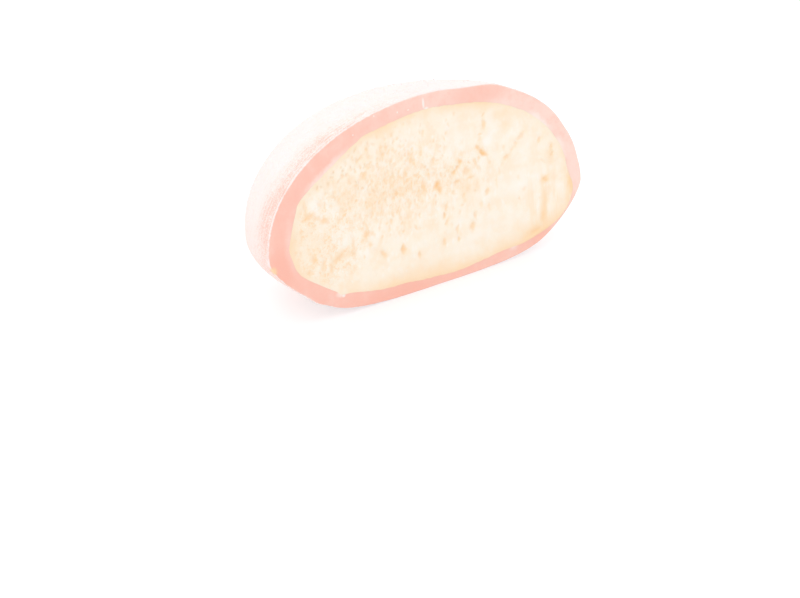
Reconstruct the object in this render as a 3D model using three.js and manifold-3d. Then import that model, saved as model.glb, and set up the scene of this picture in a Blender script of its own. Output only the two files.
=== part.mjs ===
// Half of a round mochi: a skin of rice dough around an ice cream centre, cut straight through the middle.
// Millimetres, +Z up. The cut face looks along -Y, and the half stands on its flat base. The origin is
// level with the base, under the middle of the bounding box.
import * as THREE from "three";
import { ImprovedNoise } from "three/addons/math/ImprovedNoise.js";
import { mergeVertices } from "three/addons/utils/BufferGeometryUtils.js";
import Module from "manifold-3d";

const wasm = await Module();
wasm.setup();

// Driving dimensions.
const WIDTH = 50; // along the cut
const HEIGHT = 26.75; // from the base to the crown
const BASE_ROUNDING = 3.5; // how softly the sides run into the flat base
const THINNEST_DOUGH = 0.5; // the stretched skin, low on the right
const GAP = 0.3; // between the skin and the ice cream
const HEART = new THREE.Vector3(1, 0, 11.85); // inside both forms, in the plane of the cut
const BEYOND = 80; // larger than anything here

// The skin and the ice cream are two squashed balls. Each has a waist, where it is widest, and its outline
// is a superellipse above the waist and another below it: a squareness of 2 is a plain ellipse, less is
// more pointed and more is fuller. Lumps raise (or, below zero, sink) the surface around one place.
const DOUGH = {
  middle: 0,
  reach: WIDTH / 2,
  backReach: 23.2,
  crown: HEIGHT,
  foot: -3.95, // the round form ends below the flat base that it was pressed down to
  waist: { left: 10.35, right: 8.45 },
  crownSquareness: { left: 2.08, right: 2.22, back: 2.3 },
  bellySquareness: { left: 1.48, right: 1.56, back: 2.2 },
  waviness: 0.1,
  lumps: [
    { x: 11.8, z: 25.35, spread: 2.2, lift: 0.25 }, // the shoulder
    { x: 6.5, z: 26.25, spread: 3, lift: -0.2 },
    { x: 22.5, z: 16.85, spread: 2.5, lift: -0.15 },
    { x: 25.1, z: 9.35, spread: 1.6, lift: 0.15 },
    { x: 17, z: 1.15, spread: 2, lift: -0.15 },
    { x: -18.4, z: 2.95, spread: 1.5, lift: 0.25 }, // the fold where the base turns up
  ],
};
const ICE_CREAM = {
  middle: 0.6,
  reach: 22.2,
  backReach: 20.9,
  crown: 24.6,
  foot: 1.5,
  waist: { left: 11.05, right: 9.45 },
  crownSquareness: { left: 1.95, right: 2.06, back: 2.15 },
  bellySquareness: { left: 2.24, right: 3.2, back: 2.7 },
  waviness: 0,
  lumps: [
    { x: -4.8, z: 1.75, spread: 2.2, lift: -0.3 },
    { x: 3.6, z: 1.05, spread: 2.6, lift: 0.3 },
    { x: 11.3, z: 1.85, spread: 2.4, lift: -0.35 },
    { x: 6, z: 24.15, spread: 3.2, lift: -0.2 },
    { x: -8.9, z: 23.75, spread: 2, lift: 0.35 },
    { x: -14.6, z: 20.75, spread: 2.4, lift: -0.25 },
    { x: -19.2, z: 17.35, spread: 1.4, lift: 0.2 },
    { x: 22, z: 4.55, spread: 2.6, lift: 0.5 }, // squeezed out to the thinnest dough
    { x: 23.8, z: 7.85, spread: 1.7, lift: 0.9 },
    { x: -14.5, z: 2.75, spread: 1.1, lift: 0.8 }, // the point where the dough was pinched together
  ],
};
const LUMP_RUNS_BACK = 2; // lumps are this much longer away from the cut than along it

// How many facets a whole ball has around and from pole to pole.
const FACETS_AROUND = 48;
const FACETS_UP = 44;

// The face of the ice cream: how finely it is shaped, and how deep its relief is.
const FACE_CELL = 1.25;
const CRUMBLE_DEPTH = 0.4; // torn and crumbly on the left
const DRAG_DEPTH = 0.2; // wiped smooth by the knife on the right, with upright drag marks
const EDGE_DEPTH = 0.1; // softened beside the skin
const PORE_RIM_CLEARANCE = 1.1; // no pore comes this near to the skin

// The pores and cracks that stand out. Tilt is in degrees, from upright towards the right.
const LARGE_PORES = [
  { x: 1.5, z: 13.8, wide: 0.9, high: 1.5, tilt: 25 },
  { x: -0.8, z: 14.2, wide: 0.6, high: 1.3, tilt: 0 },
  { x: 9, z: 16.4, wide: 0.8, high: 1.9, tilt: -55 },
  { x: 8.1, z: 14.6, wide: 0.6, high: 1.9, tilt: -20 },
  { x: 9.6, z: 20.4, wide: 0.6, high: 1.5, tilt: 5 },
  { x: 5, z: 15.5, wide: 0.7, high: 1.2, tilt: 30 },
  { x: 6.6, z: 14.6, wide: 0.9, high: 0.9, tilt: 0 },
  { x: 6.7, z: 7.1, wide: 0.8, high: 2.4, tilt: 8 },
  { x: 4.2, z: 6.9, wide: 0.7, high: 1.2, tilt: 0 },
  { x: 2.2, z: 10, wide: 0.6, high: 1.8, tilt: 15 },
  { x: 15.1, z: 16.7, wide: 0.6, high: 2, tilt: 45 },
  { x: 18.3, z: 15.8, wide: 0.6, high: 1.1, tilt: 0 },
  { x: 18.9, z: 6.3, wide: 0.6, high: 3, tilt: 10 },
  { x: -6.8, z: 20.7, wide: 0.7, high: 1.7, tilt: 0 },
  { x: -9.2, z: 19.7, wide: 0.7, high: 1.5, tilt: 60 },
  { x: -10.2, z: 10.2, wide: 0.9, high: 0.9, tilt: 0 },
  { x: -4.6, z: 6.5, wide: 0.7, high: 1.2, tilt: 0 },
  { x: -7.6, z: 6.8, wide: 0.8, high: 1.1, tilt: -40 },
  { x: -2.2, z: 5.1, wide: 0.6, high: 1, tilt: 0 },
  { x: -12.2, z: 9.1, wide: 0.6, high: 2.6, tilt: 10 },
  { x: -15, z: 7.6, wide: 0.8, high: 3, tilt: 62 },
  { x: -18.3, z: 15.4, wide: 0.8, high: 2.2, tilt: -12 },
  { x: -16.6, z: 13.7, wide: 0.6, high: 1.6, tilt: -75 },
];

// Small pores are scattered around a grid, and kept more often where the cream is full of air.
const PORE_SPACING = 2.4;
const PORE_SEED = 7;
const SMALL_PORE = { least: 0.45, most: 0.75, stretch: 1.45 };
const AIRY = { x: -1.5, z: 13.9, spreadX: 13, spreadZ: 7 };

const { clamp, lerp, smoothstep, degToRad, seededRandom } = THREE.MathUtils;
const noise = new ImprovedNoise();

// The lesser of two distances, with the corner between them rounded off.
function softLeast(a, b, rounding) {
  const share = clamp(0.5 + (0.5 * (b - a)) / rounding, 0, 1);
  return lerp(b, a, share) - rounding * share * (1 - share);
}

// Below 1 inside a form and above 1 outside it.
function fullness(form, point) {
  const across = point.x - form.middle;
  const turn = Math.atan2(Math.abs(point.y), across);
  const right = (1 + Math.cos(turn)) / 2;
  const back = Math.sin(turn) ** 2;
  const waist = lerp(form.waist.left, form.waist.right, right);
  const aboveWaist = point.z > waist;
  const around = aboveWaist ? form.crownSquareness : form.bellySquareness;
  const squareness = lerp(lerp(around.left, around.right, right), around.back, back);
  const reach = lerp(form.reach, form.backReach, back);
  const rise = aboveWaist ? form.crown - waist : waist - form.foot;
  const outward = Math.hypot(across, point.y) / reach;
  const upward = Math.abs(point.z - waist) / rise;
  return outward ** squareness + upward ** squareness;
}

// How much the lumps and the waviness of hand shaping lift the surface at a point.
function unevenness(form, point) {
  let lift = form.waviness * noise.noise(point.x / 8, point.y / 8, point.z / 8);
  for (const lump of form.lumps) {
    const away = Math.hypot(point.x - lump.x, point.y / LUMP_RUNS_BACK, point.z - lump.z) / lump.spread;
    lift += lump.lift * Math.exp(-away * away);
  }
  return lift;
}

// The distance from the heart to the surface of a form in one direction, found by halving.
function distanceTo(form, direction) {
  const point = new THREE.Vector3();
  let inside = 0;
  let outside = BEYOND;
  for (let halving = 0; halving < 32; halving += 1) {
    const middle = (inside + outside) / 2;
    point.copy(HEART).addScaledVector(direction, middle);
    if (fullness(form, point) < 1) inside = middle;
    else outside = middle;
  }
  return inside + unevenness(form, point);
}

function grown(form, by) {
  const larger = { ...form };
  larger.reach += by;
  larger.backReach += by;
  larger.crown += by;
  larger.foot -= by;
  return larger;
}

const ICE_CREAM_HOLLOW = grown(ICE_CREAM, GAP);

function skinDistance(direction) {
  const toBase = direction.z < -0.001 ? -HEART.z / direction.z : BEYOND;
  return softLeast(distanceTo(DOUGH, direction), toBase, BASE_ROUNDING);
}

function hollowDistance(direction) {
  return Math.min(distanceTo(ICE_CREAM_HOLLOW, direction), skinDistance(direction) - THINNEST_DOUGH);
}

function creamDistance(direction) {
  return Math.min(distanceTo(ICE_CREAM, direction), skinDistance(direction) - THINNEST_DOUGH - GAP);
}

function solidOf(geometry) {
  geometry.deleteAttribute("normal");
  geometry.deleteAttribute("uv");
  const merged = mergeVertices(geometry, 1e-4);
  return new wasm.Manifold(
    new wasm.Mesh({
      numProp: 3,
      vertProperties: merged.attributes.position.array,
      triVerts: new Uint32Array(merged.index.array),
    }),
  );
}

function geometryOf(solid) {
  const mesh = solid.getMesh();
  const geometry = new THREE.BufferGeometry();
  geometry.setAttribute("position", new THREE.BufferAttribute(mesh.vertProperties, 3));
  geometry.setIndex(new THREE.BufferAttribute(mesh.triVerts, 1));
  geometry.computeVertexNormals();
  return geometry;
}

// A whole ball around the heart, with its surface at the distance that a function gives in each direction.
function ball(distance) {
  const geometry = new THREE.SphereGeometry(1, FACETS_AROUND, FACETS_UP);
  geometry.rotateX(Math.PI / 2);
  const place = geometry.attributes.position;
  const direction = new THREE.Vector3();
  for (let i = 0; i < place.count; i += 1) {
    direction.fromBufferAttribute(place, i).normalize();
    const out = distance(direction);
    place.setXYZ(i, HEART.x + out * direction.x, HEART.y + out * direction.y, HEART.z + out * direction.z);
  }
  return solidOf(geometry);
}

// The half that was cut away, with a plane face.
function cutAway() {
  const box = new THREE.BoxGeometry(BEYOND, BEYOND, BEYOND);
  box.translate(0, -BEYOND / 2, 0);
  return solidOf(box);
}

// How far the face of the ice cream lies behind the cut.
function faceDepth(x, z) {
  const crumbly = 1 - smoothstep(x, -16, -5);
  const wiped = smoothstep(x, 11, 17);
  const crumbs = Math.abs(noise.noise(x / 1.9, 3, z / 1.9)) + 0.4 * Math.abs(noise.noise(x / 0.9, 8, z / 0.9));
  const drags = 0.5 + 0.5 * noise.noise(x / 1.1, 5, z / 7);
  const swell = 0.5 + 0.5 * noise.noise(x / 5, 11, z / 5);
  const edge = smoothstep(fullness(ICE_CREAM, { x, y: 0, z }), 0.8, 1);
  return crumbly * CRUMBLE_DEPTH * crumbs + wiped * DRAG_DEPTH * drags + 0.1 * swell + EDGE_DEPTH * edge;
}

// The half that was cut away, as the rough face of the ice cream leaves it.
function roughCutAway() {
  const wide = Math.round(WIDTH / FACE_CELL);
  const high = Math.round((HEIGHT + 2) / FACE_CELL);
  const box = new THREE.BoxGeometry(WIDTH, HEIGHT + 2, WIDTH, wide, high, 1);
  box.rotateX(Math.PI / 2);
  box.translate(0, -WIDTH / 2, HEIGHT / 2);
  const place = box.attributes.position;
  for (let i = 0; i < place.count; i += 1) {
    if (place.getY(i) > -1) place.setY(i, faceDepth(place.getX(i), place.getZ(i)));
  }
  return solidOf(box);
}

function pore({ x, z, wide, high, tilt }) {
  const bubble = new THREE.SphereGeometry(0.5, 7, 6);
  bubble.scale(wide, wide, high);
  bubble.rotateY(degToRad(tilt));
  bubble.translate(x, faceDepth(x, z), z);
  return solidOf(bubble);
}

function smallPores() {
  const found = [];
  seededRandom(PORE_SEED);
  const within = grown(ICE_CREAM, -PORE_RIM_CLEARANCE);
  for (let gridX = -WIDTH / 2; gridX < WIDTH / 2; gridX += PORE_SPACING) {
    for (let gridZ = 0; gridZ < HEIGHT; gridZ += PORE_SPACING) {
      const x = gridX + (seededRandom() - 0.5) * PORE_SPACING * 0.6;
      const z = gridZ + (seededRandom() - 0.5) * PORE_SPACING * 0.6;
      const wide = lerp(SMALL_PORE.least, SMALL_PORE.most, seededRandom());
      const high = wide * lerp(1, SMALL_PORE.stretch, seededRandom());
      const airy = Math.exp(-(((x - AIRY.x) / AIRY.spreadX) ** 2) - ((z - AIRY.z) / AIRY.spreadZ) ** 2);
      const kept = seededRandom() < airy;
      const clear = LARGE_PORES.every((large) => Math.hypot(x - large.x, z - large.z) > large.high / 2 + 0.6);
      if (kept && clear && fullness(within, { x, y: 0, z }) < 1) found.push({ x, z, wide, high, tilt: 0 });
    }
  }
  return found;
}

function makeSkin() {
  return ball(skinDistance).subtract(cutAway()).subtract(ball(hollowDistance));
}

function makeIceCream() {
  let cream = ball(creamDistance).subtract(roughCutAway());
  for (const bubble of [...LARGE_PORES, ...smallPores()]) cream = cream.subtract(pore(bubble));
  return cream;
}

function named(name, solid, material) {
  const mesh = new THREE.Mesh(geometryOf(solid), material);
  mesh.name = name;
  return mesh;
}

const pinkDough = new THREE.MeshStandardMaterial({ color: 0xffd2c8, roughness: 0.7, metalness: 0 });
const paleCream = new THREE.MeshStandardMaterial({ color: 0xfff0dc, roughness: 0.55, metalness: 0 });

const mochi = new THREE.Group();
mochi.add(named("dough_skin", makeSkin(), pinkDough));
mochi.add(named("ice_cream_filling", makeIceCream(), paleCream));

const box = new THREE.Box3().setFromObject(mochi);
mochi.position.set(-(box.min.x + box.max.x) / 2, -(box.min.y + box.max.y) / 2, -box.min.z);

export default mochi;
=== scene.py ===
"""Half of a round mochi, cut through: pink rice dough dusted with starch, around pale ice cream."""

import math
import random

import bmesh
import bpy
import numpy as np
from mathutils import Matrix, Vector, noise


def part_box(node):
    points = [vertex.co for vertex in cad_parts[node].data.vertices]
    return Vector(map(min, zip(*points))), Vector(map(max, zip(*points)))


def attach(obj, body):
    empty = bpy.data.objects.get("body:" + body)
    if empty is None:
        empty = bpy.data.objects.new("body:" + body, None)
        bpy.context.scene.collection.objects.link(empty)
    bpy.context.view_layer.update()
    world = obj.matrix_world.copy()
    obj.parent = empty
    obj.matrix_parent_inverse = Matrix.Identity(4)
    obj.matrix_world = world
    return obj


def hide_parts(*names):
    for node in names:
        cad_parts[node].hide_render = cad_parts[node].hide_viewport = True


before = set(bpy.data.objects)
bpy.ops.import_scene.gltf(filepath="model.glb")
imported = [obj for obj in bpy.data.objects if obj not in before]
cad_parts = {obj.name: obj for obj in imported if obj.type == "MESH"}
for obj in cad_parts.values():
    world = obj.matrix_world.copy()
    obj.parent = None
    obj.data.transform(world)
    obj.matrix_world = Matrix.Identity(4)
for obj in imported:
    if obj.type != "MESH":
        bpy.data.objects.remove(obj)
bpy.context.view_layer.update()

# ---------------------------------------------------------------------------------------------------------
# Sizes. Shapes are worked out in millimetres from the foot of the cut: x along the cut, y back into the
# half and z up. Only to_frame() turns them into the frame's metres.
# ---------------------------------------------------------------------------------------------------------

MM = 0.001
SKIN_LOW, SKIN_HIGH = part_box("dough_skin")
WIDTH, DEPTH, HEIGHT = (SKIN_HIGH - SKIN_LOW) / MM
THINNEST_DOUGH = 0.3
BASE_ROUNDING = 3.5
HOLLOW_ROUNDING = 0.5
HEART = np.array([1.0, 0.0, 11.85])  # inside the ice cream, where all directions start
BEYOND = 80.0  # a distance from the heart that is outside everything
HALVINGS = 28
ICE_CREAM_RADIUS = 22  # these two radii are rough, and only place noise and streaks
DOME_RADIUS = 20
SEED = 11

RIM_STEPS = 480
DOME_RINGS = 144
FACE_COLUMNS = 384
FACE_ROWS = 192
HOLLOW_RINGS = 10


def mix(a, b, amount):
    return a + (b - a) * amount


def smoothstep(value, start, end):
    t = np.clip((value - start) / (end - start), 0, 1)
    return t * t * (3 - 2 * t)


def soft_least(a, b, rounding):
    """The lesser of two distances, with the corner between them rounded off."""
    h = np.clip(0.5 + 0.5 * (b - a) / rounding, 0, 1)
    return mix(b, a, h) - rounding * h * (1 - h)


def noise_at(points, size, shift=0.0):
    """Smooth noise from -1 to 1 at each point, with swells of about this size."""
    return np.array([noise.noise(Vector(p) / size + Vector((shift, shift, shift))) for p in points])


class Ball:
    """A squashed ball: its outline is one superellipse above its waist and another one below it.

    The waist is given on the left and the right, squareness on the left, the right and the back, and lumps
    are (x, z, spread, lift) along the cut.
    """

    def __init__(
        self, middle, reach, back_reach, crown, foot, waist, crown_squareness, belly_squareness, lumps,
    ):
        self.middle = middle
        self.reach = reach
        self.back_reach = back_reach
        self.crown = crown
        self.foot = foot
        self.waist = waist
        self.crown_squareness = crown_squareness
        self.belly_squareness = belly_squareness
        self.lumps = lumps

    def fullness(self, points):
        """Below 1 inside the ball."""
        across = points[:, 0] - self.middle
        turn = np.arctan2(np.abs(points[:, 1]), across)
        rightness = (1 + np.cos(turn)) / 2
        backness = np.sin(turn) ** 2

        def around(left, right, back):
            return mix(mix(left, right, rightness), back, backness)

        waist = mix(*self.waist, rightness)
        above = points[:, 2] > waist
        squareness = np.where(above, around(*self.crown_squareness), around(*self.belly_squareness))
        rise = np.where(above, self.crown - waist, waist - self.foot)
        outward = np.hypot(across, points[:, 1]) / mix(self.reach, self.back_reach, backness)
        upward = np.abs(points[:, 2] - waist) / rise
        return outward ** squareness + upward ** squareness

    def distance(self, directions):
        """How far the surface is from the heart in each direction, found by halving."""
        inside = np.zeros(len(directions))
        outside = np.full(len(directions), BEYOND)
        for _ in range(HALVINGS):
            middle = (inside + outside) / 2
            within = self.fullness(HEART + directions * middle[:, None]) < 1
            inside = np.where(within, middle, inside)
            outside = np.where(within, outside, middle)
        points = HEART + directions * inside[:, None]
        lift = np.zeros(len(directions))
        for x, z, spread, height in self.lumps:
            offsets = (points - [x, 0, z]) * [1, 0.5, 1]
            lift += height * np.exp(-(offsets ** 2).sum(axis=1) / spread ** 2)
        return inside + lift


DOUGH = Ball(
    middle=0, reach=WIDTH / 2, back_reach=DEPTH, crown=HEIGHT, foot=-3.95, waist=(10.35, 8.45),
    crown_squareness=(2.08, 2.22, 2.3), belly_squareness=(1.48, 1.56, 2.2),
    lumps=[
        (11.8, 25.35, 2.2, 0.25), (6.5, 26.25, 3, -0.2), (22.5, 16.85, 2.5, -0.15),
        (25.1, 9.35, 1.6, 0.15), (17, 1.15, 2, -0.15), (-18.4, 2.95, 1.5, 0.25),
    ],
)
ICE_CREAM = Ball(
    middle=0.6, reach=22.3, back_reach=21, crown=24.7, foot=1.35, waist=(11.05, 9.45),
    crown_squareness=(1.95, 2.06, 2.15), belly_squareness=(2.24, 3.2, 2.7),
    lumps=[
        (-4.8, 1.75, 2.2, -0.3), (3.6, 1.05, 2.6, 0.3), (11.3, 1.85, 2.4, -0.35), (6, 24.15, 3.2, -0.2),
        (-8.9, 23.75, 2, 0.35), (-14.6, 20.75, 2.4, -0.25), (-19.6, 17.2, 1.8, 0.5), (22, 4.55, 2.6, 0.5),
        (23.8, 7.85, 1.7, 0.9), (-14.5, 2.75, 1.1, 0.8), (-18.4, 5.6, 2.2, -0.3), (-21.9, 11.4, 1.0, 0.2),
    ],
)


def skin_distance(directions):
    """The outside of the dough, pressed flat against the table."""
    table = HEART[2] / np.maximum(-directions[:, 2], 1e-3)
    return soft_least(DOUGH.distance(directions), table, BASE_ROUNDING)


def hollow_distance(directions):
    """Where the dough ends and the ice cream starts, a little ragged."""
    near_wall = directions * ICE_CREAM_RADIUS
    ragged = 0.1 * noise_at(near_wall, 1.7) + 0.05 * noise_at(near_wall, 0.7, 3)
    thin_dough = skin_distance(directions) - THINNEST_DOUGH
    return soft_least(ICE_CREAM.distance(directions) + ragged, thin_dough, HOLLOW_ROUNDING)


def directions_in_cut(angles):
    return np.stack([np.cos(angles), np.zeros(len(angles)), np.sin(angles)], axis=1)


def angles_in_cut(points):
    return np.arctan2(points[:, 2] - HEART[2], points[:, 0] - HEART[0])


ALL_ROUND = directions_in_cut(np.linspace(-math.pi, math.pi, 720))
CUT_OUTLINE = HEART + ALL_ROUND * skin_distance(ALL_ROUND)[:, None]
SHIFT_X = (SKIN_LOW.x + SKIN_HIGH.x) / 2 / MM - (CUT_OUTLINE[:, 0].min() + CUT_OUTLINE[:, 0].max()) / 2


def to_frame(points):
    return (points + np.array([SHIFT_X, 0, 0])) * MM + np.array([0, SKIN_LOW.y, SKIN_LOW.z])


# ---------------------------------------------------------------------------------------------------------
# Mesh helpers.
# ---------------------------------------------------------------------------------------------------------


def places(verts):
    return np.array([v.co for v in verts])


def set_places(verts, points):
    for vert, point in zip(verts, points):
        vert.co = point


def set_values(verts, layer, values):
    for vert, value in zip(verts, values):
        vert[layer] = float(value)


def extrude_rim(bm, rim):
    """Extrudes a closed rim of edges, and returns the new rim and its vertices."""
    made = bmesh.ops.extrude_edge_only(bm, edges=rim)["geom"]
    return (
        [g for g in made if isinstance(g, bmesh.types.BMEdge)],
        [g for g in made if isinstance(g, bmesh.types.BMVert)],
    )


def close_behind(bm, rim, less):
    """Closes a rim in the cut with a bowl behind it, this much smaller than the hollow of the dough."""
    for edge in rim:
        edge.smooth = False
    for step in range(1, HOLLOW_RINGS + 1):
        rim, verts = extrude_rim(bm, rim)
        back = 0.5 * math.pi * (step / (HOLLOW_RINGS + 1)) ** 1.5
        inward = directions_in_cut(angles_in_cut(places(verts))) * math.cos(back)
        inward[:, 1] = math.sin(back)
        set_places(verts, HEART + inward * (hollow_distance(inward) - less)[:, None])
    deepest = hollow_distance(np.array([[0.0, 1.0, 0.0]]))[0] - less
    rim, verts = extrude_rim(bm, rim)
    bmesh.ops.pointmerge(bm, verts=verts, merge_co=HEART + np.array([0, deepest, 0]))


def finish_piece(name, bm, material, replaced=None):
    """Turns a bmesh in millimetres into a smooth-shaded piece of the frame."""
    bmesh.ops.recalc_face_normals(bm, faces=bm.faces)
    set_places(bm.verts, to_frame(places(bm.verts)))
    for face in bm.faces:
        face.smooth = True
    mesh = bpy.data.meshes.new(name)
    bm.to_mesh(mesh)
    bm.free()
    mesh.materials.append(material)
    piece = bpy.data.objects.new(name, mesh)
    bpy.context.scene.collection.objects.link(piece)
    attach(piece, "root")
    if replaced:
        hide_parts(replaced)
    return piece


# ---------------------------------------------------------------------------------------------------------
# Materials. Their coordinates are in millimetres too, and so are their sizes and depths.
# ---------------------------------------------------------------------------------------------------------


class Wire:
    """A shader socket that adds nodes when it is used in arithmetic."""

    def __init__(self, finish, socket):
        self.finish = finish
        self.socket = socket

    def math(self, operation, *others):
        return self.finish.node("ShaderNodeMath", {"operation": operation}, [self, *others])

    def vector(self, operation, *others, output="Vector"):
        return self.finish.node("ShaderNodeVectorMath", {"operation": operation}, [self, *others], output)

    def __add__(self, other):
        return self.math("ADD", other)

    def __sub__(self, other):
        return self.math("SUBTRACT", other)

    def __rsub__(self, other):
        return self.finish.node("ShaderNodeMath", {"operation": "SUBTRACT"}, [other, self])

    def __mul__(self, other):
        return self.math("MULTIPLY", other)

    __radd__ = __add__
    __rmul__ = __mul__

    def most(self, other):
        return self.math("MAXIMUM", other)

    def part(self, axis):
        return self.finish.node("ShaderNodeSeparateXYZ", {}, [self], axis)

    def ramp(self, start, end):
        """0 at start and 1 at end, with a smooth rise between, and the same beyond them."""
        settings = {"interpolation_type": "SMOOTHSTEP"}
        return self.finish.node("ShaderNodeMapRange", settings, [self, start, end, 0.0, 1.0])

    def near(self, x, z, wide, high):
        """1 in the middle of an oval on the cut, and 0 outside it."""
        away = self.vector("SUBTRACT", (x, 0.0, z)).vector("DIVIDE", (wide / 2, 1.0, high / 2))
        return away.vector("LENGTH", output="Value").ramp(1.0, 0.3)


class Finish:
    """A material that is built from nodes."""

    def __init__(self, name):
        self.material = bpy.data.materials.new(name)
        self.material.use_nodes = True
        self.tree = self.material.node_tree
        self.tree.nodes.clear()
        self.surface = self.tree.nodes.new("ShaderNodeBsdfPrincipled")
        output = self.tree.nodes.new("ShaderNodeOutputMaterial")
        self.tree.links.new(self.surface.outputs["BSDF"], output.inputs["Surface"])

    def node(self, kind, settings, sockets, output=0):
        """Adds a node: its settings first, then values or wires for its sockets, by place or by name."""
        made = self.tree.nodes.new(kind)
        for name, value in settings.items():
            setattr(made, name, value)
        pairs = sockets.items() if isinstance(sockets, dict) else enumerate(sockets)
        for place, value in pairs:
            if isinstance(value, Wire):
                self.tree.links.new(value.socket, made.inputs[place])
            else:
                made.inputs[place].default_value = value
        return Wire(self, made.outputs[output])

    def where(self):
        """The place in millimetres, as the shapes have it."""
        placed = self.node("ShaderNodeTexCoord", {}, {}, "Object")
        to_foot = (-SHIFT_X, -SKIN_LOW.y / MM, -SKIN_LOW.z / MM)
        return placed.vector("MULTIPLY_ADD", (1 / MM, 1 / MM, 1 / MM), to_foot)

    def attribute(self, name, output="Fac"):
        return self.node("ShaderNodeAttribute", {"attribute_name": name}, {}, output)

    def grain(self, vector, size, detail=3.0, roughness=0.55):
        """Noise from 0 to 1 with features of about this size."""
        sockets = {"Vector": vector, "Scale": 1 / size, "Detail": detail, "Roughness": roughness}
        return self.node("ShaderNodeTexNoise", {}, sockets)

    def blend(self, amount, first, second):
        """A mix of two colours."""
        sockets = {"Factor": amount, 6: first, 7: second}
        return self.node("ShaderNodeMix", {"data_type": "RGBA"}, sockets, 2)

    def bump(self, height, depth):
        """A bump from a height of 0 to 1."""
        return self.node("ShaderNodeBump", {}, {"Strength": 1.0, "Distance": depth * MM, "Height": height})

    def set(self, **values):
        """Sets or links the shader's own sockets, by names with _ for each space."""
        for name, value in values.items():
            socket = self.surface.inputs[name.replace("_", " ")]
            if isinstance(value, Wire):
                self.tree.links.new(value.socket, socket)
            else:
                socket.default_value = value


def seen(red, green, blue, light):
    """The colour that looks like this 8-bit colour under this much light."""

    def straight(value):
        value /= 255
        return value / 12.92 if value <= 0.04045 else ((value + 0.055) / 1.055) ** 2.4

    return (*(straight(v) / light for v in (red, green, blue)), 1.0)


# How bright the open, almost shadowless light leaves a white surface. DOME_LIGHT is for the sides of the
# dome. Its crown gets more, so the starch there turns from faintly pink to white.
CUT_LIGHT = 1.12
DOME_LIGHT = 1.06

DOUGH_DEEP = seen(254, 200, 184, CUT_LIGHT)
# The cut dough where painted light makes it paler, toward the upper right of the cut.
DOUGH_PAINTED_LIT = seen(254, 222, 210, CUT_LIGHT)
DOUGH_MOIST = seen(253, 190, 172, CUT_LIGHT)
DOUGH_MILKY = seen(255, 234, 225, CUT_LIGHT * 0.98)
DOUGH_WHITE = seen(255, 246, 240, CUT_LIGHT)
SYRUP = seen(255, 220, 172, CUT_LIGHT)

STARCH_WHITE = seen(253, 238, 236, DOME_LIGHT)
STARCH_GRAIN = seen(255, 253, 251, DOME_LIGHT)
STARCH_THIN = seen(253, 235, 229, DOME_LIGHT)
STARCH_BARE = seen(253, 202, 188, DOME_LIGHT)

CREAM = seen(254, 244, 228, CUT_LIGHT)
CREAM_WARM = seen(254, 229, 198, CUT_LIGHT)
# The warm tone of pores and crevices in the ice cream: partly its own colour, partly painted shade in
# these hollows, whose relief is kept shallow.
CREAM_PORE_AND_SHADE = seen(253, 209, 156, CUT_LIGHT)
CREAM_EDGE = seen(254, 219, 176, CUT_LIGHT)
CREAM_WHITE = seen(255, 250, 241, CUT_LIGHT)

# Where the cut dough is moist, and where it is milky beside the ice cream: x, z, width, height, strength.
MOIST_PATCHES = [
    (-23.2, 8.8, 5, 9, 0.9), (-6, 0.6, 18, 4, 0.7), (9, 24.6, 13, 7, 0.5), (17.8, 1.8, 8, 4, 0.7),
]
MILKY_PATCHES = [
    (-15, 20, 12, 9, 0.7), (12.3, 22.4, 8, 4, 0.3), (19.0, 18.7, 7, 6, 1), (22.2, 14.2, 4, 5, 0.8),
    (-22, 11, 3, 16, 0.25), (13, 1.6, 2, 1.6, 0.6), (-14.9, 3.1, 2.2, 1.6, 0.9),
]

# Specks of starch and bubbles in the cut dough: x, z, width, height.
WHITE_SPECKS = [
    (0.3, 25.55, 0.5, 2.0), (0.7, 24.8, 0.9, 0.5), (-10.8, 24.05, 0.3, 0.3), (-7.4, 25.75, 0.25, 0.4),
    (-3.8, 25.35, 0.3, 0.4), (-2.1, 25.25, 0.4, 0.25), (-14.5, 2.85, 0.7, 0.6),
]


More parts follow.
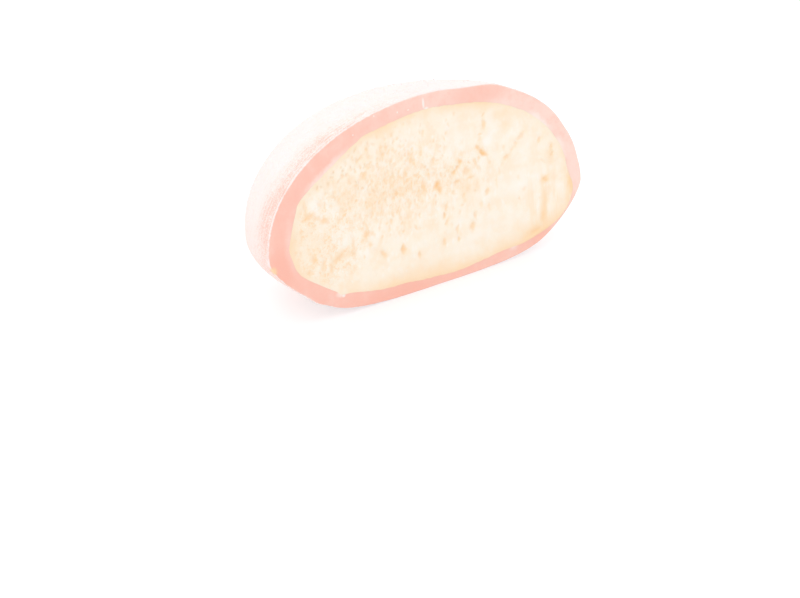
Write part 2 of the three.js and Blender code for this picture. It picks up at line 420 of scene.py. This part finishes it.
def dough_finish():
    """Moist pink dough where it is cut, and dusted with starch outside."""
    f = Finish("rice_dough")
    where = f.where()
    x, y, z = (where.part(axis) for axis in "XYZ")
    coat = f.attribute("coat")
    around = f.attribute("around")
    from_outside = f.attribute("from_outside")
    from_cream = f.attribute("from_cream")
    flow = f.attribute("flow", "Vector")

    fluff = f.grain(where, 0.55, 4.0, 0.65)
    grit = f.grain(where, 0.16, 2.0)
    patches = f.grain(where, 5.0, 2.0)

    # Painted light: the cut dough turns paler toward the upper right, where the light falls on it more
    # strongly.
    painted_light_up_right = (x * 0.02 + z * 0.025).ramp(0.05, 1.05)
    cut = f.blend(painted_light_up_right, DOUGH_DEEP, DOUGH_PAINTED_LIT)
    mottle = f.grain(where, 1.7, 4.0, 0.6)
    cut = f.blend(mottle.ramp(0.45, 0.7) * 0.35, cut, DOUGH_MOIST)
    cut = f.blend(mottle.ramp(0.5, 0.3) * 0.15, cut, DOUGH_MILKY)
    moist = 0.0
    for at_x, at_z, wide, high, strength in MOIST_PATCHES:
        moist = where.near(at_x, at_z, wide, high) * strength + moist
    cut = f.blend(moist, cut, DOUGH_MOIST)
    cut = f.blend(where.near(24.5, 11, 5, 16) * 0.3, cut, DOUGH_MILKY)
    milky = 0.0
    for at_x, at_z, wide, high, strength in MILKY_PATCHES:
        milky = where.near(at_x, at_z, wide, high) * strength + milky
    fringe = (from_cream + (fluff - 0.5) * 1.2 + (patches - 0.5) * 2.0).ramp(1.0, 0.0)
    cut = f.blend(milky * fringe, cut, DOUGH_MILKY)
    for at_x, at_z, wide, high in WHITE_SPECKS:
        cut = f.blend(where.near(at_x, at_z, wide, high) * 0.8, cut, DOUGH_WHITE)
    starchy_edge = x.ramp(-1, -8)
    ragged = (fluff - 0.5) * 0.4
    white_rim = (from_outside + ragged).ramp(0.16, 0.02) * (starchy_edge * 0.7 + 0.15)
    cut = f.blend(white_rim, cut, DOUGH_WHITE)

    streaks = f.grain(flow.vector("MULTIPLY", (1.0, 0.13, 1.0)), 0.5, 4.0, 0.6)
    rim_way = f.node("ShaderNodeCombineXYZ", {}, [around * 0.13, y, 0.0])
    # Fine lines beside the cut and on the upper left of the dome: partly the pleats' own tone, partly
    # painted shade in their creases.
    pleat_lines_and_shade = f.grain(rim_way, 0.36, 3.0, 0.6)
    lined = x.ramp(8, 0) * (z.ramp(8, 14) * y.ramp(13, 3)).most(y.ramp(3.5, 1) * 1.5)
    low = (z + (patches - 0.5) * 6.0).ramp(15.0, 1.0)
    # Painted shade: the left side of the dome, which faces away from the light, is made pinker.
    left = x.ramp(-10, -24) * z.ramp(24, 8)
    behind_cut = y.ramp(6.0, 0.5) * x.ramp(4, -16)
    crest = z.ramp(14, 20)
    far = y.ramp(4, 17).most(x.ramp(-2, 14) * y.ramp(1, 6))
    clumps = f.grain(where, 1.5, 4.0, 0.7)
    worn = (fluff - 0.5) * 1.4 + (patches - 0.5) * 0.8
    worn += (clumps - 0.5) * 1.6 * far.most(crest * 0.8) + (streaks - 0.5) * 1.2 * far
    speckle = (grit - 0.5) * (behind_cut * 1.7 + 0.4) + (pleat_lines_and_shade - 0.5) * lined
    # How pink the dome is: lower down, on the far side and behind the cut, plus the painted shade on its
    # left side.
    pink_and_painted_shade = low * (0.08 + far * 0.75) + left * 0.42 + far * 0.16
    pink_and_painted_shade += behind_cut * (0.14 + z.ramp(10, 17) * 0.56)
    bare_and_painted_shade = worn * (far * 0.7).most(crest * 0.6).most(0.3) + speckle + pink_and_painted_shade + 0.12
    foot = (z + (fluff - 0.5) * 4.0).ramp(1.6, 0.9)
    from_edge = y + ragged
    edge_line = from_edge.ramp(0.34, 0.12) * starchy_edge
    second_line = from_edge.ramp(0.6, 0.68) * from_edge.ramp(0.84, 0.76) * z.ramp(18, 21) * starchy_edge
    dusted = f.blend(bare_and_painted_shade.ramp(0.0, 0.55), STARCH_WHITE, STARCH_THIN)
    dusted = f.blend(bare_and_painted_shade.ramp(0.4, 1.2), dusted, STARCH_BARE)
    dusted = f.blend(foot.most(edge_line).most(second_line * 0.7), dusted, STARCH_WHITE)
    syrup = where.near(-24.55, 9.05, 1.6, 1.9) * 0.8

    height = coat * (fluff * 0.6 + streaks * 0.25 + grit * 0.15) + (1 - coat) * (mottle * 0.2)
    f.set(
        Base_Color=f.blend(syrup, f.blend(coat, cut, dusted), SYRUP),
        Roughness=0.45 + 0.4 * coat,
        Normal=f.bump(height, 0.16),
        Subsurface_Weight=0.2,
        Subsurface_Radius=(1.0, 0.55, 0.45),
        Subsurface_Scale=0.3 * MM,
        Specular_IOR_Level=0.3,
    )
    return f.material


def ice_cream_finish():
    """Airy ice cream: warm in its pores and crevices, partly with painted shade, yellow beside the dough,
    streaked where it was wiped, and with painted highlights on crumbs, streaks and beside a pore.
    """
    f = Finish("ice_cream")
    where = f.where()
    x, _, z = (where.part(axis) for axis in "XYZ")
    pore = f.attribute("pore")
    fleck_and_highlight = f.attribute("fleck_and_highlight")
    edge = f.attribute("edge")
    airy = f.attribute("airy")
    torn = f.attribute("torn")

    upright = where.vector("MULTIPLY", (1.0, 1.0, 0.45))
    fibre = f.grain(upright, 0.42, 3.0, 0.65)
    fine = f.grain(where, 0.2, 3.0, 0.6)
    patches = f.grain(where, 2.4, 3.0)
    drags = f.grain(where.vector("MULTIPLY", (1.0, 1.0, 0.13)), 1.0, 3.0)
    wiped = x.ramp(12, 19) * z.ramp(14, 8)
    chunks = f.grain(where, 0.65, 3.0, 0.7)
    # Crevices between crumbs, tinted warm: partly their own colour, partly painted shade.
    crevices_and_shade = (fine * 0.4 + chunks * 0.6 + (patches - 0.5) * 0.3).ramp(0.5, 0.64)

    colour = f.blend(patches.ramp(0.42, 0.66) * 0.45, CREAM, CREAM_WARM)
    colour = f.blend(patches.ramp(0.44, 0.3) * 0.5, colour, CREAM_WHITE)
    colour = f.blend(fibre.ramp(0.5, 0.7) * airy * 0.5, colour, CREAM_PORE_AND_SHADE)
    colour = f.blend(crevices_and_shade * (torn * 0.5 + airy * 0.3), colour, CREAM_PORE_AND_SHADE)
    colour = f.blend(fine.ramp(0.46, 0.3) * airy * 0.6, colour, CREAM_WHITE)
    # Painted highlights: the tips of the crumbs on the torn left are made whiter.
    colour = f.blend((fine * 0.5 + chunks * 0.5).ramp(0.46, 0.38) * torn * 0.7, colour, CREAM_WHITE)
    colour = f.blend(drags.ramp(0.47, 0.66) * wiped * 0.7, colour, CREAM_WARM)
    # Pale streaks along the knife drags: partly the wiped ice cream's own tone, partly painted highlights.
    colour = f.blend(drags.ramp(0.46, 0.34) * wiped * 0.5, colour, CREAM_WHITE)
    colour = f.blend(fleck_and_highlight, colour, CREAM_WHITE)
    colour = f.blend(edge, colour, CREAM_EDGE)
    colour = f.blend(pore, colour, CREAM_PORE_AND_SHADE)
    f.set(
        Base_Color=colour,
        Roughness=0.6,
        Normal=f.bump((fibre * -0.6 + fine * -0.4) * (airy + torn), 0.08),
        Subsurface_Weight=0.2,
        Subsurface_Radius=(1.0, 0.85, 0.6),
        Subsurface_Scale=0.3 * MM,
        Specular_IOR_Level=0.25,
    )
    return f.material


def starch_finish():
    f = Finish("starch")
    tone = f.grain(f.where(), 0.3, 2.0).ramp(0.35, 0.65)
    f.set(Base_Color=f.blend(tone, STARCH_GRAIN, STARCH_THIN), Roughness=0.9, Specular_IOR_Level=0.2)
    return f.material


def table_finish():
    f = Finish("pale_table")
    f.set(
        Base_Color=(0.6, 0.6, 0.61, 1.0),
        Roughness=0.5,
        Specular_IOR_Level=0.3,
        Emission_Color=(1.0, 0.985, 0.985, 1.0),
        Emission_Strength=0.4,
    )
    return f.material


# ---------------------------------------------------------------------------------------------------------
# The dough: an outer dome, the cut ring, and the hollow that the ice cream fills.
# ---------------------------------------------------------------------------------------------------------

RIM_ROUNDING = 0.2
ON_CUT = 1e-4  # nearer to the cut than this counts as on it
PLEAT_WIDTH = 0.75
FLOW_CENTRE = 8  # the height around which the streaks of the dome run down
RING_STOPS = [0.02, 0.05, 0.09, 0.15, 0.23, 0.32, 0.42, 0.52, 0.62, 0.72, 0.81, 0.88, 0.94, 0.98, 1.0]


def skin_relief(points):
    """Small unevenness of the outside: waves, clumps of starch, and pleats beside the cut."""
    x, y, z = points.T
    waves = 0.12 * noise_at(points, 8) * smoothstep(y, 0, 4)
    clumps = 0.05 * noise_at(points, 0.9, 4) + 0.03 * noise_at(points, 0.5, 9)
    wander = noise_at(points, 3.0, 2)
    pleats = np.sin((y + 0.9 * wander + 0.03 * x) * 2 * np.pi / PLEAT_WIDTH)
    pleated = smoothstep(y, 0.3, 0.9) * smoothstep(y, 6, 3) * smoothstep(z, 8, 14) * smoothstep(x, 4, -4)
    off_table = smoothstep(z, 0.2, 1.5)
    return (waves + clumps + 0.04 * pleats * pleated * smoothstep(wander, -0.3, 0.3)) * off_table


def make_dough_skin(material):
    bm = bmesh.new()
    upright = Matrix.Rotation(math.pi / 2, 4, "X")
    bmesh.ops.create_uvsphere(
        bm, u_segments=RIM_STEPS, v_segments=2 * DOME_RINGS, radius=1, matrix=upright,
    )
    everything = bm.verts[:] + bm.edges[:] + bm.faces[:]
    bmesh.ops.bisect_plane(
        bm, geom=everything, dist=ON_CUT, plane_co=(0, 0, 0), plane_no=(0, -1, 0), clear_outer=True,
    )
    coat = bm.verts.layers.float.new("coat")
    around = bm.verts.layers.float.new("around")
    from_outside = bm.verts.layers.float.new("from_outside")
    from_cream = bm.verts.layers.float.new("from_cream")
    flow = bm.verts.layers.float_vector.new("flow")

    directions = places(bm.verts)
    directions[np.abs(directions[:, 1]) < ON_CUT, 1] = 0
    directions /= np.linalg.norm(directions, axis=1)[:, None]
    points = HEART + directions * skin_distance(directions)[:, None]
    points += directions * skin_relief(points)[:, None]
    points[:, 1] += RIM_ROUNDING * np.exp(-points[:, 1])
    set_places(bm.verts, points)
    set_values(bm.verts, coat, np.ones(len(points)))
    set_values(bm.verts, around, DOME_RADIUS * angles_in_cut(points))
    for vert in bm.verts:
        turn = math.atan2(vert.co.y + 0.01, vert.co.x)
        down = math.acos(max(-1, min(1, (vert.co.z - FLOW_CENTRE) / DOME_RADIUS)))
        vert[flow] = Vector((turn, down, 0)) * DOME_RADIUS

    rim = [e for e in bm.edges if e.is_boundary]
    for stop in RING_STOPS:
        rim, verts = extrude_rim(bm, rim)
        angles = angles_in_cut(places(verts))
        cut = directions_in_cut(angles)
        outer = skin_distance(cut)
        inner = hollow_distance(cut)
        gone = stop * (outer - inner)
        points = HEART + cut * (outer - gone)[:, None]
        points[:, 1] = RIM_ROUNDING * np.clip(1 - gone / RIM_ROUNDING, 0, 1) ** 2
        points[:, 1] += 0.04 * noise_at(points, 2.5) * (1 - stop)
        set_places(verts, points)
        set_values(verts, coat, np.clip(1 - gone / (0.5 * RIM_ROUNDING), 0, 1))
        set_values(verts, around, DOME_RADIUS * angles)
        set_values(verts, from_outside, gone)
        set_values(verts, from_cream, outer - inner - gone)
    close_behind(bm, rim, 0.0)
    return finish_piece("dusted_dough_skin", bm, material, "dough_skin")


# ---------------------------------------------------------------------------------------------------------
# The ice cream: a face full of pores, crumbs and knife drags, on a half ball.
# ---------------------------------------------------------------------------------------------------------

FACE_SETBACK = 0.012  # how far the ice cream lies behind the cut of the dough
MOST_OVERLAP = 0.25  # how far its rim reaches into the dough, so that no gap shows
BACK_GAP = 0.02  # how much smaller its back is than the hollow

# Pores and cracks that stand out: x, z, width, length, tilt from upright in degrees, and strength.
PORES_THAT_SHOW = [
    (1.5, 13.9, 0.75, 1.0, 25, 1), (1.8, 13.2, 0.5, 0.9, -15, 0.9), (-0.7, 14.2, 0.5, 1.3, 0, 0.7),
    (-6.8, 21.2, 0.4, 0.8, 0, 0.5), (-6.6, 20.3, 0.5, 0.8, 0, 0.6), (-9, 21.7, 0.5, 0.6, 30, 0.6),
    (-10.2, 20.5, 0.4, 1.2, 50, 0.5), (-9.1, 19.4, 0.4, 0.9, 80, 0.5), (-9.6, 18.2, 0.5, 0.9, 60, 0.6),
    (-18.9, 16.1, 0.45, 1.2, -12, 0.6), (-18.4, 14.9, 0.7, 1.2, 70, 1), (-17.2, 14.3, 0.35, 1.4, -70, 0.7),
    (-16.2, 13.8, 0.55, 1.2, -80, 0.8), (-14, 13.1, 0.5, 0.8, 0, 0.6), (-13.4, 14.2, 0.5, 0.9, -20, 0.5),
    (-10.2, 10.1, 0.8, 0.8, 0, 0.7), (-12.3, 9.3, 0.4, 1.8, 4, 0.7), (-12.2, 8.1, 0.5, 0.6, 0, 0.7),
    (-13.3, 8.3, 0.4, 1.2, 75, 0.6), (-14.5, 8.2, 0.6, 2.2, 60, 0.8), (-15.9, 7.0, 0.6, 1.0, 20, 0.8),
    (-17.0, 7.8, 0.5, 1.3, 15, 0.7), (-18.2, 8.9, 0.6, 1.0, 0, 0.7), (-19.4, 7.3, 0.45, 1.2, 85, 0.8),
    (-7.7, 6.7, 0.6, 0.9, -45, 0.6), (-4.6, 6.5, 0.5, 1.0, 0, 0.8), (-2.2, 5.1, 0.5, 0.8, 0, 0.6),
    (-5.2, 17.1, 0.35, 0.9, 0, 0.6), (-6.6, 16.7, 0.35, 0.8, 0, 0.6), (-6, 21.0, 0.35, 0.6, 0, 0.5),
    (-2.3, 18.4, 0.4, 0.8, 0, 0.6), (1.2, 17.5, 0.4, 0.8, 0, 0.6), (-6.5, 10.0, 0.45, 0.6, 0, 0.5),
    (-5.8, 11.8, 0.35, 0.7, 0, 0.5), (9.5, 20.3, 0.5, 1.2, 3, 0.6), (9.2, 16.4, 0.5, 1.4, -55, 1),
    (8.3, 17.3, 0.5, 0.8, -20, 0.7), (7.8, 15.4, 0.35, 1.0, -20, 0.6), (8.3, 14.5, 0.35, 0.8, -20, 0.4),
    (5.3, 16.2, 0.4, 0.6, 0, 0.8), (4.9, 15.4, 0.4, 0.7, 30, 0.7), (4.3, 14.9, 0.6, 0.7, 50, 0.8),
    (6.2, 14.6, 0.8, 0.8, 0, 0.5), (4.7, 13.6, 0.45, 0.9, 80, 0.7), (6.8, 13.6, 0.45, 1.0, 75, 0.5),
    (5.6, 11.4, 0.4, 0.8, 0, 0.5), (7.9, 12.0, 0.6, 1.4, 0, 0.35), (9.4, 10.9, 0.5, 0.7, 20, 0.6),
    (2.6, 10.5, 0.35, 0.9, 5, 0.6), (2.2, 9.4, 0.35, 0.7, 15, 0.7), (2.6, 8.4, 0.35, 0.9, 15, 0.5),
    (7.2, 8.0, 0.35, 1.0, 8, 0.5), (6.6, 6.7, 0.6, 1.0, 0, 0.6), (4.2, 7.0, 0.4, 0.9, 8, 0.5),
    (4.2, 5.5, 0.4, 0.6, 0, 0.6), (1.9, 5.7, 0.4, 0.9, 10, 0.6), (15.4, 17.2, 0.6, 1.1, 50, 0.5),
    (14.5, 16.3, 0.4, 0.6, 20, 0.45), (13.8, 15.6, 0.4, 0.6, 30, 0.4), (12.8, 14.8, 0.45, 0.9, 80, 0.55),
    (12.1, 14.0, 0.3, 0.7, 35, 0.3), (11.5, 13.2, 0.3, 0.9, 12, 0.3), (18.4, 15.9, 0.5, 0.8, 10, 0.55),
    (20.3, 14.4, 0.4, 0.8, 0, 0.45), (20.5, 13.4, 0.45, 0.5, 0, 0.5), (18.7, 12.8, 0.25, 0.9, -50, 0.3),
    (19.1, 10.1, 0.6, 0.6, 30, 0.6), (15.5, 9.6, 0.5, 0.4, 0, 0.3), (18.9, 7.0, 0.4, 1.8, 8, 0.25),
    (18.3, 4.7, 0.6, 1.4, 10, 0.4), (16.9, 2.9, 0.9, 1.5, 60, 0.5), (11, 11.9, 0.25, 1.6, 0, 0.25),
]

# How strongly the ice cream turns yellow beside the dough, and how far in, at degrees around the heart.
YELLOW_AT = [-180, -155, -132, -90, -50, -28, -10, 30, 55, 85, 125, 155, 172, 180]
YELLOW_STRENGTH = [0.75, 0.15, 0.7, 0.8, 0.6, 1.0, 0.3, 0.2, 0.8, 0.45, 0.75, 0.35, 0.4, 0.75]
YELLOW_REACH = [1.9, 1.2, 1.9, 1.9, 1.2, 2.6, 1.4, 1.0, 1.2, 1.0, 1.1, 1.1, 1.4, 1.9]

# Soft warm and pale patches, in the form of PORES_THAT_SHOW. The pale patch at x 9.9, z 17.8 is a painted
# highlight beside a large pore.
WARM_PATCHES = [
    (18.3, 4.9, 1.6, 4.4, 12, 0.6), (16.7, 2.9, 3.0, 4.4, 68, 0.85), (19.1, 7.8, 1.2, 3.8, 4, 0.45),
    (23.3, 8.4, 1.4, 4.6, -4, 1), (19, 10.1, 1.6, 1.5, 0, 0.6), (20.3, 13.8, 1.2, 3.4, 0, 0.4),
    (12.3, 21.3, 1.8, 4.2, 80, 0.35), (13, 19.2, 1.3, 1.8, 0, 0.3), (-9.6, 18.1, 1.4, 2.2, 60, 0.3),
    (-14.8, 8.3, 1.4, 2.6, 62, 0.4), (-19.8, 8.0, 1.4, 2.4, 60, 0.35), (-19.2, 15.1, 1.0, 2.2, 20, 0.35),
    (-16.5, 13.7, 0.8, 1.8, 80, 0.3), (6.4, 12.2, 3.0, 4.5, 0, 0.25), (-7, 15.0, 4.0, 9, 70, 0.25),
    (-18.4, 11.0, 5.0, 7.0, 0, 0.25), (-12.5, 15.8, 3.5, 3.5, 0, 0.35),
]
PALE_PATCHES_AND_HIGHLIGHT = [
    (-17.4, 15.7, 1.9, 3.2, -10, 0.8), (9.9, 17.8, 1.6, 1.6, 0, 0.9), (10.9, 20.6, 1.4, 2.4, 0, 0.5),
    (0.9, 14.6, 1.0, 1.4, -20, 0.7), (-12.6, 10.8, 4.0, 3.2, 0, 0.4), (14.2, 10.5, 4.2, 4.6, 0, 0.5),
    (-3.4, 20.4, 7.0, 2.6, 90, 0.3), (5, 18.9, 4.5, 5.0, 0, 0.4), (8, 6.2, 5.0, 12.0, 90, 0.3),
    (-0.5, 4.6, 3.0, 6.0, 90, 0.3), (-9, 18.4, 4.0, 4.0, 0, 0.2), (-6.5, 10.0, 4.0, 7.0, 90, 0.2),
]


def scattered(count, middle, spread, widths, stretches, strengths, seed):
    """Oval marks at random, denser around a middle, in the form of PORES_THAT_SHOW."""
    rng = random.Random(seed)
    marks = []
    for _ in range(count):
        wide = rng.uniform(*widths)
        marks.append((
            rng.gauss(middle[0], spread[0]), rng.gauss(middle[1], spread[1]),
            wide, wide * rng.uniform(*stretches), rng.gauss(0, 14), rng.uniform(*strengths),
        ))
    return marks


def stamped(x, z, marks, size=1.0):
    """How strongly the marks show at each place, drawn larger or smaller than they are."""
    field = np.zeros(len(x))
    for centre_x, centre_z, wide, high, tilt, strength in marks:
        reach = size * max(wide, high)
        near = (np.abs(x - centre_x) < reach) & (np.abs(z - centre_z) < reach)
        sine, cosine = math.sin(math.radians(tilt)), math.cos(math.radians(tilt))
        along = (x[near] - centre_x) * sine + (z[near] - centre_z) * cosine
        side = (x[near] - centre_x) * cosine - (z[near] - centre_z) * sine
        away = (2 * side / (size * wide)) ** 2 + (2 * along / (size * high)) ** 2
        field[near] = np.maximum(field[near], strength * np.exp(-away ** 1.3))
    return field


def make_ice_cream(material):
    bm = bmesh.new()
    upright = Matrix.Rotation(math.pi / 2, 4, "X")
    bmesh.ops.create_grid(bm, x_segments=FACE_COLUMNS, y_segments=FACE_ROWS, size=1, matrix=upright)
    layers = {name: bm.verts.layers.float.new(name) for name in ("pore", "fleck_and_highlight", "edge", "airy", "torn")}

    # The square grid is bent into an oval, whose every ray is then stretched past the edge of the hollow.
    square = places(bm.verts)
    round_x = square[:, 0] * np.sqrt(1 - square[:, 2] ** 2 / 2)
    round_z = square[:, 2] * np.sqrt(1 - square[:, 0] ** 2 / 2)
    half_wide, half_high = 22.5, 11.5
    x, z = round_x * half_wide, round_z * half_high
    angles = np.arctan2(z, x)
    oval_distance = 1 / np.hypot(np.cos(angles) / half_wide, np.sin(angles) / half_high)
    rim_ways = directions_in_cut(angles)
    hollow = hollow_distance(rim_ways)
    rim_distance = hollow + np.minimum(MOST_OVERLAP, 0.35 * (skin_distance(rim_ways) - hollow))
    out = np.hypot(x, z) / oval_distance * rim_distance
    points = HEART + rim_ways * out[:, None]
    x, z = points[:, 0], points[:, 2]
    to_rim = hollow - out

    bent_x = x + 0.2 * noise_at(points, 1.1, 3) + 0.16 * noise_at(points, 0.4, 1)
    bent_z = z + 0.2 * noise_at(points, 1.1, 7) + 0.16 * noise_at(points, 0.4, 2)
    fine_pores = scattered(400, (-6.5, 14.8), (6.5, 3.3), (0.28, 0.5), (1.0, 2.0), (0.15, 0.5), SEED + 3)
    soft_pores = scattered(90, (-2.0, 14.5), (6.0, 3.5), (0.4, 0.7), (1.0, 1.8), (0.1, 0.3), SEED + 4)
    flecks = scattered(420, (-4.0, 13.5), (9.0, 5.0), (0.25, 0.5), (1.2, 2.6), (0.3, 0.9), SEED + 5)
    high_pores = scattered(170, (-8.0, 19.8), (5.5, 2.0), (0.22, 0.4), (1.0, 1.6), (0.15, 0.5), SEED + 6)
    clear_of_rim = smoothstep(to_rim, 0.2, 1.1)
    torn = smoothstep(x + 2.5 * noise_at(points, 4, 1), -7, -14)
    torn *= smoothstep(z - 0.3 * x, 8.3, 10.8) * smoothstep(z, 18.5, 15)
    wiped = smoothstep(x, 10, 16)
    small_pores = fine_pores + soft_pores + high_pores
    deep = np.maximum(
        stamped(bent_x, bent_z, PORES_THAT_SHOW, 1.2), stamped(bent_x, bent_z, small_pores),
    )
    # How strongly each place is tinted as a pore: partly the pores' warm colour, partly painted shade in
    # them.
    shown = np.maximum(
        stamped(bent_x, bent_z, PORES_THAT_SHOW, 1.5) ** 1.2, stamped(bent_x, bent_z, small_pores, 1.2),
    )
    drags = noise_at(points * np.array([1, 1, 0.15]), 0.8, 5)
    lumps = np.abs(noise_at(points, 1.3, 6)) + 0.5 * np.abs(noise_at(points, 0.6, 8))
    depth = 0.2 * deep * (1 - 0.4 * torn) + torn * 0.07 * (0.6 - lumps) + 0.03 * wiped * drags
    depth += 0.05 + 0.05 * noise_at(points, 4.5, 6) + 0.02 * noise_at(points, 0.6, 8)
    points[:, 1] = FACE_SETBACK + clear_of_rim * np.clip(depth, 0, None)
    set_places(bm.verts, points)

    degrees = np.degrees(angles)
    reach = np.interp(degrees, YELLOW_AT, YELLOW_REACH)
    fading = np.exp(-(np.clip(to_rim, 0, None) / reach) ** 1.3)
    yellow = np.interp(degrees, YELLOW_AT, YELLOW_STRENGTH) * fading
    warm = np.maximum(yellow, stamped(bent_x, bent_z, WARM_PATCHES))
    pale = np.maximum(0.8 * stamped(x, z, flecks), stamped(bent_x, bent_z, PALE_PATCHES_AND_HIGHLIGHT))
    foam = np.exp(-((x + 3) / 10) ** 2 - ((z - 15.2) / 4.6) ** 2)
    set_values(bm.verts, layers["pore"], clear_of_rim * np.clip(shown * (1 - 0.35 * torn), 0, 1))
    set_values(bm.verts, layers["fleck_and_highlight"], pale)
    set_values(bm.verts, layers["edge"], np.clip(warm, 0, 1))
    set_values(bm.verts, layers["airy"], clear_of_rim * foam)
    set_values(bm.verts, layers["torn"], clear_of_rim * torn)

    close_behind(bm, [e for e in bm.edges if e.is_boundary], BACK_GAP)
    return finish_piece("porous_ice_cream", bm, material, "ice_cream_filling")


# ---------------------------------------------------------------------------------------------------------
# Grains of starch on the dome and around its foot.
# ---------------------------------------------------------------------------------------------------------

DOME_GRAINS = 1300
FOOT_GRAINS = 900
FINEST_GRAIN, GRAIN_RANGE = 0.05, 0.1  # the least radius, and how much more the largest has
FREE_OF_CUT = 0.4


def make_starch_grains(material):
    rng = random.Random(SEED + 2)
    chosen = []
    while len(chosen) < DOME_GRAINS + FOOT_GRAINS:
        around = rng.uniform(0, math.pi)
        up = rng.gauss(0.5, 0.45) if len(chosen) < DOME_GRAINS else rng.gauss(-0.5, 0.05)
        if -0.6 < up < 1.5:
            level = math.cos(up)
            chosen.append((math.cos(around) * level, math.sin(around) * level, math.sin(up)))
    directions = np.array(chosen)
    distances = skin_distance(directions)
    distances += skin_relief(HEART + directions * distances[:, None])
    grain = bpy.data.meshes.new("grain")
    bm = bmesh.new()
    bmesh.ops.create_uvsphere(bm, u_segments=7, v_segments=4, radius=1)
    bm.to_mesh(grain)
    bm.clear()
    for direction, distance in zip(directions, distances):
        size = FINEST_GRAIN + GRAIN_RANGE * rng.random() ** 2
        place = HEART + direction * distance
        if place[1] < FREE_OF_CUT or place[2] < 0.5 * size:
            continue
        outward = Vector(direction).to_track_quat("Z", "Y").to_matrix().to_4x4()
        flat = Matrix.Diagonal((size, size * rng.uniform(0.6, 1.6), 0.25 * size, 1))
        matrix = Matrix.Translation(place) @ outward @ Matrix.Rotation(rng.uniform(0, 6), 4, "Z") @ flat
        grain.transform(matrix)
        bm.from_mesh(grain)
        grain.transform(matrix.inverted())
    return finish_piece("starch_grains", bm, material)


# ---------------------------------------------------------------------------------------------------------
# Table, light and camera.
# ---------------------------------------------------------------------------------------------------------

CAMERA_AZIMUTH = -32.9
CAMERA_ELEVATION = 19.8
CAMERA_ROLL = -4.85
CAMERA_DISTANCE = 0.320
FOCAL_PIXELS = 2424
PICTURE_WIDTH, PICTURE_HEIGHT = 800, 598
AIM_PIXEL = (428.7, 192.0)  # where the point that is aimed at lies in the picture
AIM_HEIGHT = 13.35 * MM
TABLE_SIZE = 4
WORLD_STRENGTH = 1.03
LAMPS = [("key", (-0.35, -0.35, 0.6), 1.0), ("back", (0.2, 0.5, 0.5), 0.6)]  # name, place and watts
LAMP_SIZE = 0.5


def make_table(material):
    bm = bmesh.new()
    bmesh.ops.create_grid(bm, x_segments=1, y_segments=1, size=TABLE_SIZE)
    mesh = bpy.data.meshes.new("table")
    bm.to_mesh(mesh)
    bm.free()
    mesh.materials.append(material)
    table = bpy.data.objects.new("table", mesh)
    bpy.context.scene.collection.objects.link(table)


def make_camera():
    azimuth, elevation, roll = map(math.radians, (CAMERA_AZIMUTH, CAMERA_ELEVATION, CAMERA_ROLL))
    aim = Vector((SHIFT_X * MM, SKIN_LOW.y, AIM_HEIGHT))
    back = Vector((
        math.sin(azimuth) * math.cos(elevation),
        -math.cos(azimuth) * math.cos(elevation),
        math.sin(elevation),
    ))
    right = Vector((math.cos(azimuth), math.sin(azimuth), 0))
    up = back.cross(right)
    right, up = (
        right * math.cos(roll) + up * math.sin(roll),
        up * math.cos(roll) - right * math.sin(roll),
    )
    place = aim + back * CAMERA_DISTANCE
    turn = Matrix((right, up, back)).transposed()
    aside = math.atan((AIM_PIXEL[0] - PICTURE_WIDTH / 2) / FOCAL_PIXELS)
    above = math.atan((PICTURE_HEIGHT / 2 - AIM_PIXEL[1]) / FOCAL_PIXELS)
    turn = turn @ Matrix.Rotation(aside, 3, "Y") @ Matrix.Rotation(-above, 3, "X")

    data = bpy.data.cameras.new("camera")
    data.sensor_width = 36
    data.lens = data.sensor_width * FOCAL_PIXELS / PICTURE_WIDTH
    data.clip_start = 0.01
    camera = bpy.data.objects.new("camera", data)
    camera.matrix_world = Matrix.Translation(place) @ turn.to_4x4()
    bpy.context.scene.collection.objects.link(camera)
    bpy.context.scene.camera = camera


def make_light():
    world = bpy.data.worlds.new("studio")
    world.use_nodes = True
    background = world.node_tree.nodes["Background"]
    background.inputs["Color"].default_value = (1, 1, 1, 1)
    background.inputs["Strength"].default_value = WORLD_STRENGTH
    bpy.context.scene.world = world

    for name, place, power in LAMPS:
        data = bpy.data.lights.new(name, "AREA")
        data.size = LAMP_SIZE
        data.energy = power
        lamp = bpy.data.objects.new(name, data)
        lamp.location = place
        lamp.rotation_euler = (-Vector(place)).to_track_quat("-Z", "Y").to_euler()
        bpy.context.scene.collection.objects.link(lamp)
    bpy.context.scene.view_settings.view_transform = "Standard"


make_camera()
make_light()
make_table(table_finish())
make_dough_skin(dough_finish())
make_ice_cream(ice_cream_finish())
make_starch_grains(starch_finish())
